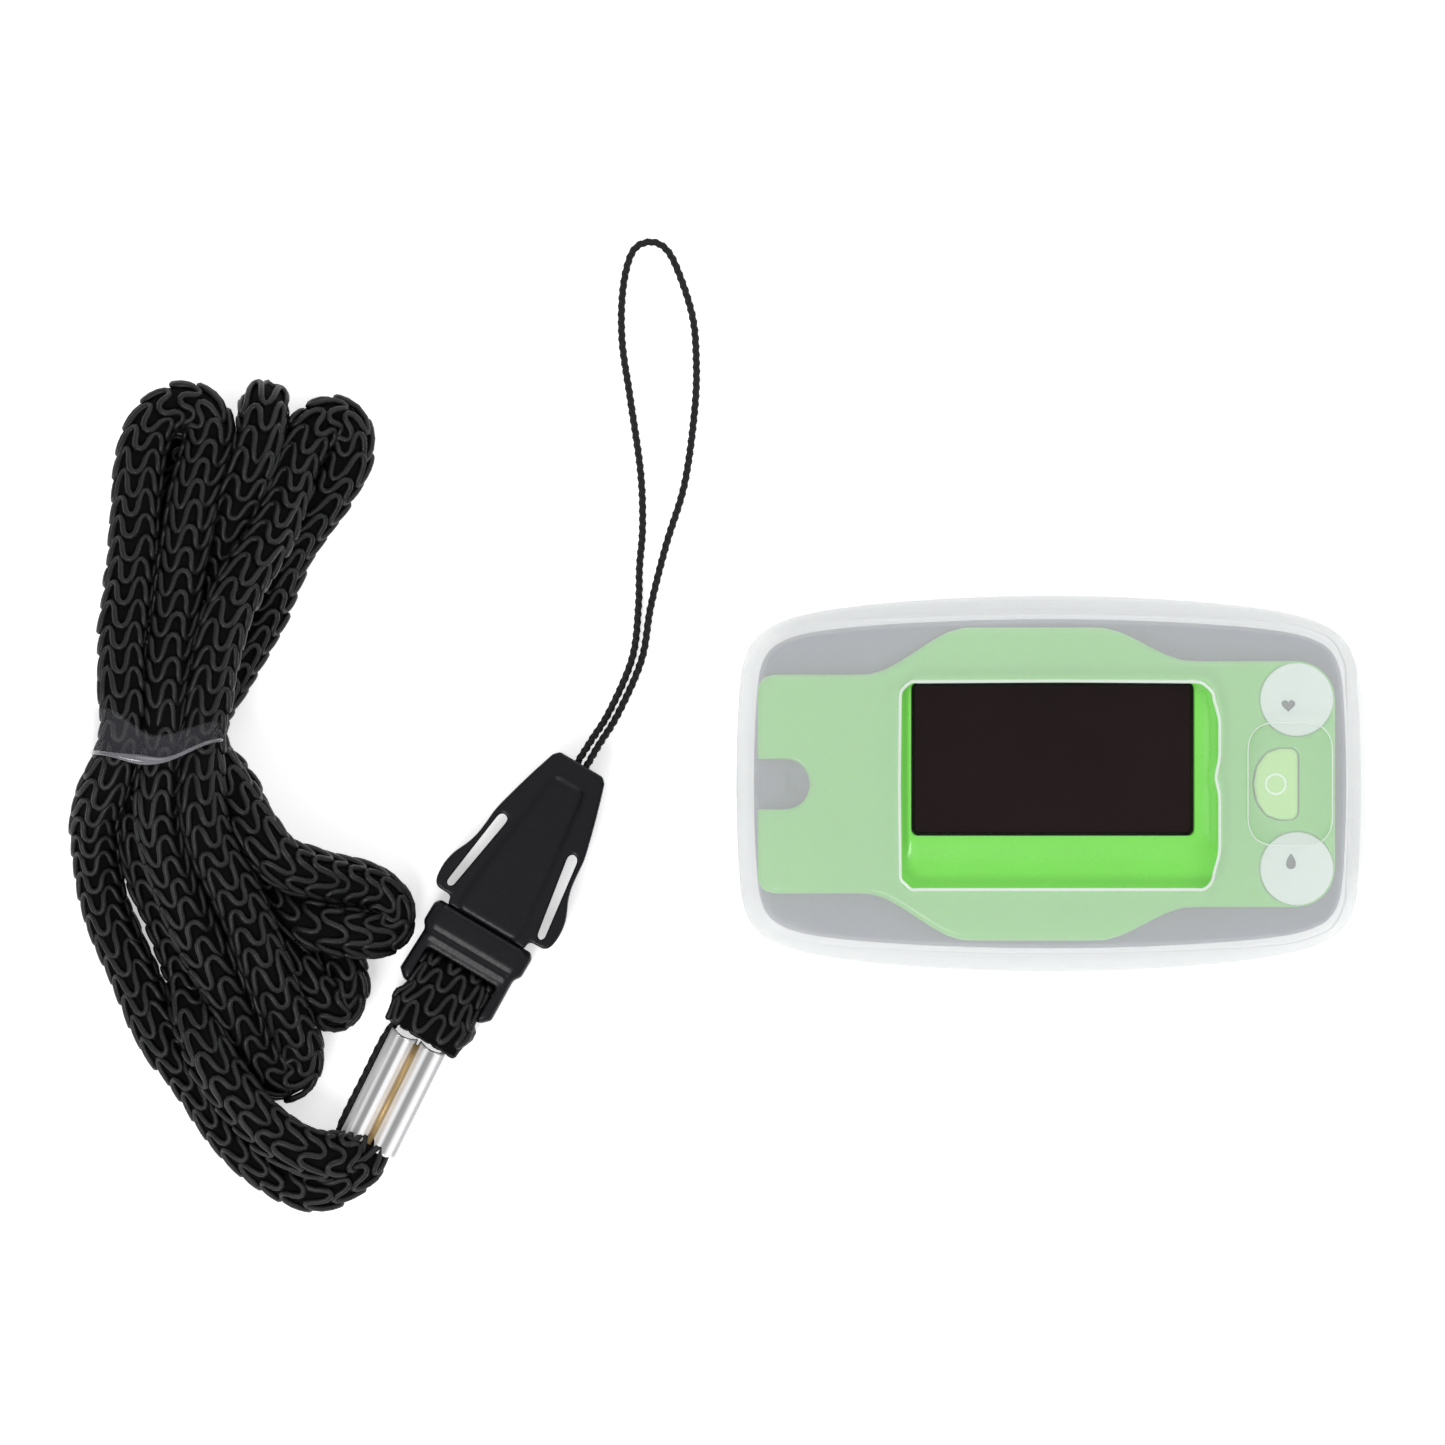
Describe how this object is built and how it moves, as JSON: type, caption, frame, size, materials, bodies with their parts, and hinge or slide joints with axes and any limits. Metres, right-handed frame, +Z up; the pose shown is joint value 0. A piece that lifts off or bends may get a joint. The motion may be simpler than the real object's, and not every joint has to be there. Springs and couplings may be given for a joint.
{
  "type": "fingertip pulse oximeter",
  "caption": "Clip-on fingertip pulse oximeter in a frosted silicone cover, with a sprung hinge, a power key and a knitted neck lanyard lying beside it.",
  "frame": {"origin": "centre of the covered oximeter's underside, on the table it stands on", "axes": "+X along the oximeter towards the finger opening, +Z up, +Y to its left as seen from the hinge end"},
  "size_m": [0.1258, 0.095, 0.0351],
  "materials": {
    "silicone": "translucent frosted white silicone",
    "green_plastic": "bright green moulded plastic",
    "key_plastic": "pale yellow-green satin plastic",
    "grey_plastic": "dark grey fine-textured plastic",
    "black_plastic": "black moulded plastic",
    "pad_rubber": "soft black rubber",
    "white_plastic": "white satin plastic",
    "dark_glass": "glossy near-black display window",
    "circuit_board": "green solder mask",
    "chip_black": "black epoxy package",
    "steel": "bright drawn steel",
    "nickel": "nickel-plated spring steel",
    "battery": "printed blue sleeve with a bright cap",
    "amber_film": "amber polyimide film",
    "buckle_plastic": "black satin acetal",
    "yarn": "black knitted polyester cord",
    "clear_band": "clear glossy elastic band"
  },
  "bodies": {
    "lower_half": {"cover_lower": "silicone", "lower_shell": "grey_plastic", "lower_tray": "black_plastic", "lower_finger_pad": "pad_rubber", "photodiode": "chip_black", "sensor_board": "circuit_board", "battery_left": "battery", "battery_right": "battery", "rear_contact_spring": "nickel", "front_contact_spring": "nickel", "rear_plate_left": "nickel", "rear_plate_right": "nickel", "front_link_plate": "nickel", "hinge_pin": "steel", "hinge_spring_left": "steel", "hinge_spring_right": "steel", "sensor_ribbon": "amber_film"},
    "upper_half": {"cover_upper": "silicone", "top_panel": "green_plastic", "upper_shell": "grey_plastic", "display_lens": "dark_glass", "display_module": "white_plastic", "main_board": "circuit_board", "processor_chip": "chip_black", "signal_chip": "chip_black", "tact_switch": "chip_black", "badge_pulse": "white_plastic", "badge_oxygen": "white_plastic", "upper_tray": "black_plastic", "upper_finger_pad": "pad_rubber", "emitter_led": "white_plastic", "board_screw_1": "steel", "board_screw_2": "steel", "tray_screw_1": "steel", "tray_screw_2": "steel"},
    "key": {"power_button": "key_plastic"},
    "door": {"battery_door": "grey_plastic"},
    "lanyard": {"buckle_female": "buckle_plastic", "cord_head": "yarn", "ferrule": "steel", "neck_cord_lead": "yarn", "neck_cord_hank": "yarn", "hank_tie": "clear_band"},
    "string_half": {"buckle_male": "buckle_plastic", "string_loop": "yarn"}
  },
  "joints": [
    {"name": "clamp_hinge", "type": "hinge", "parent": "lower_half", "child": "upper_half", "pos_m": [-0.015, 0, 0.0174], "axis": [0, -1, 0], "range_deg": [0, 15], "stiffness_Nm_per_rad": 0.3, "springref_deg": -17.19, "deforming": ["sensor_ribbon"]},
    {"name": "power_button_press", "type": "slide", "parent": "upper_half", "child": "key", "axis": [0, 0, -1], "range_m": [0, 0.0005], "stiffness_N_per_m": 2000, "springref_m": -0.0002},
    {"name": "battery_door_slide", "type": "slide", "parent": "lower_half", "child": "door", "axis": [1, 0, 0], "range_m": [0, 0.003]},
    {"name": "lanyard_lift", "type": "slide", "parent": "lower_half", "child": "lanyard", "axis": [0, 0, 1], "range_m": [0, 0.04]},
    {"name": "buckle_release", "type": "slide", "parent": "lanyard", "child": "string_half", "axis": [0.509, 0.8607, 0], "range_m": [0, 0.012]}
  ]
}
